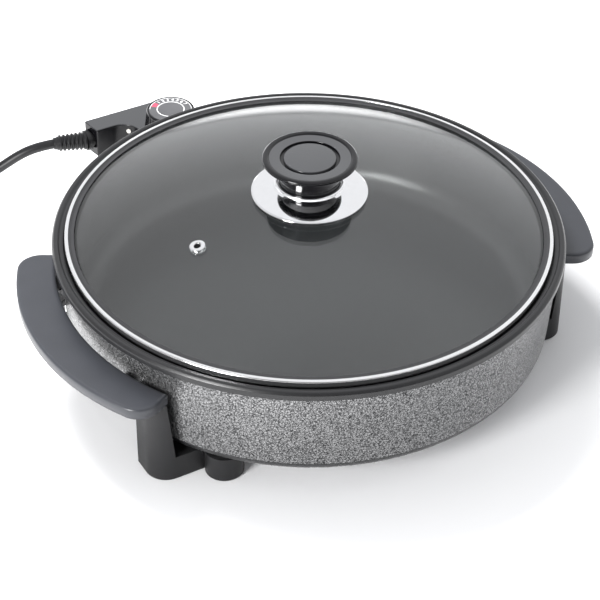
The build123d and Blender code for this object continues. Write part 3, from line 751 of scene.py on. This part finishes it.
def make_dial():
    outline = rounded([
        (3.0, 54.0, 0), (6.0, 54.0, 0.3), (6.0, 68.0, 0.3), (15.0, 68.0, 0.5), (15.0, 52.6, 0.3),
        (20.5, 52.6, 0.5), (19.9, 56.0, 0), (17.9, 69.6, 0.4), (17.8, 71.0, 0.6), (17.3, 72.0, 0.5),
        (16.1, 72.0, 0.3), (16.1, 71.2, 0), (3.0, 71.2, 0),
    ], 4)
    knob = lathe_mesh("dial_grip", outline, RIBS * 8)
    for vertex in knob.vertices:
        place = vertex.co
        radius = math.hypot(place.x, place.y) / MM
        if radius > RIB_MIN_R and RIB_Z[0] < place.z / MM < RIB_Z[1]:
            angle = math.atan2(place.y, place.x)
            groove = 0.5 - 0.5 * math.cos(RIBS * angle)
            place.xy *= 1 - RIB_DEPTH * groove ** 0.7 / radius
    knob.transform(Matrix.Translation(DIAL_AT * MM))
    obj = new_object("dial_grip", knob, ["gloss_black"])
    sharpen(obj, 35)
    place_piece(obj, "dial", "gloss_black", "dial_knob")
    disc = new_object("dial_plate", lathe_mesh("dial_plate", rounded([
        (0, 71.22, 0), (16.0, 71.22, 0), (16.0, 72.0, 0.25), (0, 72.0, 0)]), 96), ["dial_plate"])
    disc.data.transform(Matrix.Translation(DIAL_AT * MM))
    place_piece(disc, "dial", "dial_print", "dial_face")
    make_dial_marks()


def dial_ring(inner, outer, start=0.0, end=360.0, steps=96):
    """Flat printed arc on the dial between two radii and two angles in degrees."""
    made = bmesh.new()
    low, high = DIAL_TOP - 0.02, DIAL_TOP + 0.05
    closed = end - start >= 360
    spokes = []
    for k in range(steps if closed else steps + 1):
        angle = math.radians(start + (end - start) * k / steps)
        spokes.append([made.verts.new((r * MM * math.cos(angle), r * MM * math.sin(angle), z * MM))
                       for r, z in ((inner, low), (outer, low), (outer, high), (inner, high))])
    pairs = list(zip(spokes, spokes[1:]))
    if closed:
        pairs.append((spokes[-1], spokes[0]))
    for first, second in pairs:
        for k in range(4):
            made.faces.new((first[k], first[(k + 1) % 4], second[(k + 1) % 4], second[k]))
    if not closed:
        made.faces.new(spokes[0])
        made.faces.new(list(reversed(spokes[-1])))
    bmesh.ops.recalc_face_normals(made, faces=made.faces)
    mesh = bpy.data.meshes.new("mark")
    made.to_mesh(mesh)
    made.free()
    return mesh


def digit_mesh(text, degrees):
    """Printed number that reads from the dial's centre outwards."""
    curve = bpy.data.curves.new("digit", "FONT")
    curve.body = text
    curve.size = DIGIT_SIZE * MM
    curve.align_x = "CENTER"
    curve.align_y = "CENTER"
    curve.extrude = 0.035 * MM
    curve.offset = 0.06 * MM
    carrier = bpy.data.objects.new("digit", curve)
    bpy.context.scene.collection.objects.link(carrier)
    bpy.context.view_layer.update()
    graph = bpy.context.evaluated_depsgraph_get()
    mesh = bpy.data.meshes.new_from_object(carrier.evaluated_get(graph))
    bpy.data.objects.remove(carrier)
    turn = Matrix.Rotation(math.radians(degrees), 4, "Z")
    upright = Matrix.Rotation(math.radians(-90), 4, "Z")
    place = Matrix.Translation(Vector((DIGIT_R, 0, DIAL_TOP + 0.015)) * MM)
    mesh.transform(turn @ place @ upright)
    return mesh


def joined(name, meshes):
    made = bmesh.new()
    for mesh in meshes:
        made.from_mesh(mesh)
    bmesh.ops.remove_doubles(made, verts=made.verts[:], dist=1e-7)
    mesh = bpy.data.meshes.new(name)
    made.to_mesh(mesh)
    made.free()
    mesh.transform(Matrix.Translation(DIAL_AT * MM))
    return mesh


def make_dial_marks():
    """Numbers 1 to 7 round the far side, an inner circle and a red mark at the off position."""
    whites = [dial_ring(9.6, 10.3), dial_ring(15.1, 15.5, -32, 152)]
    for number in range(7):
        whites.append(digit_mesh(str(number + 1), DIGIT_FIRST - DIGIT_STEP * number))
    marks = new_object("dial_marks", joined("dial_marks", whites), ["print_white"], smooth=False)
    place_piece(marks, "dial", "dial_print")
    red = joined("dial_red", [dial_ring(11.0, 14.8, 116, 138, 12)])
    place_piece(new_object("dial_off_mark", red, ["print_red"], smooth=False), "dial", "dial_print")


CORD_Y, CORD_Z = 241, 40    # axis of the lead where it leaves the controller
RELIEF_FROM = Vector((-52.2, CORD_Y, CORD_Z))
RELIEF_ALONG = Vector((-24.9, 6.3, 1.0)).normalized()


def make_strain_relief():
    """Ribbed tapering sleeve with a stepped collar at its tip, and a disc against the arm's end."""
    corners = [(0, 0.9, 0), (7.0, 0.9, 0.3)]
    for k in range(6):
        start = 3.0 + 3.1 * k
        outer, inner = 6.9 - 0.13 * k, 5.7 - 0.12 * k
        corners += [(outer, start, 0.35), (inner, start + 0.35, 0.25), (inner, start + 1.35, 0.25),
                    (outer - 0.1, start + 1.7, 0.35)]
    corners += [(6.1, 21.6, 0.3), (5.2, 21.9, 0.2), (5.2, 23.0, 0.3), (4.7, 23.3, 0.3), (4.5, 25.7, 0.4),
                (0, 25.7, 0)]
    mesh = lathe_mesh("strain_relief_sleeve", rounded(corners, 3), 64)
    sleeve = new_object("strain_relief_sleeve", mesh, ["cord"])
    turn = RELIEF_ALONG.to_track_quat("Z", "Y").to_matrix().to_4x4()
    sleeve.data.transform(Matrix.Translation(RELIEF_FROM * MM) @ turn)
    boolean(sleeve, pin(7.7, (-53.9, CORD_Y, CORD_Z), (-50.75, CORD_Y, CORD_Z), 64), "UNION")
    boolean(sleeve, pin(5.8, (-51.5, CORD_Y, CORD_Z), (-45.4, CORD_Y, CORD_Z), 48), "UNION")
    flange = bar((-45.9, CORD_Y - 4, CORD_Z - 7.5), (-44.6, CORD_Y + 4, CORD_Z + 7.5), 0.3)
    boolean(sleeve, flange, "UNION")
    sharpen(sleeve, 35)
    place_piece(sleeve, "controller", "cord_black", "strain_relief")


# ---------------------------------------------------------------- finishes of the CAD pieces that stay
def finish_nodes():
    finishes = {
        "element": ["heating_element"],
        "terminal": ["terminal_pins", "earth_contact", "probe_tube", "dial_shaft", "plug_pins",
                     "plug_earth_clips"],
        "shroud": ["socket_shroud", "knob_spacer", "cord_clamp"],
        "screw_steel": ["socket_screws", "handle_screws", "leg_screws", "knob_washer", "knob_screw",
                        "controller_screws"],
        "leg": ["rear_right_leg", "rear_left_leg", "front_right_leg", "front_left_leg"],
        "rubber": ["foot_pads"],
        "silicone": ["lid_gasket", "knob_upper_seal", "knob_lower_seal"],
        "brass": ["knob_insert", "probe_collar", "contact_sleeves", "contact_blade", "shaft_bushing"],
        "cover": ["controller_top_cover", "controller_base_cover"],
        "ceramic": ["thermostat_frame"],
        "lens": ["indicator_lens", "neon_lamp"],
        "sleeve": ["internal_wires"],
        "plug": ["plug_body", "cord_tie"],
    }
    for key, names in finishes.items():
        for name in names:
            for slot in nodes[name].material_slots:
                slot.material = MATERIALS[key]


make_camera()
make_stage()
make_lead()
make_pan()
make_lid()
make_vent()
make_grip(1, "right_grip", "right_handle_grip")
make_grip(-1, "left_grip", "left_handle_grip")
make_dial()
make_strain_relief()
finish_nodes()
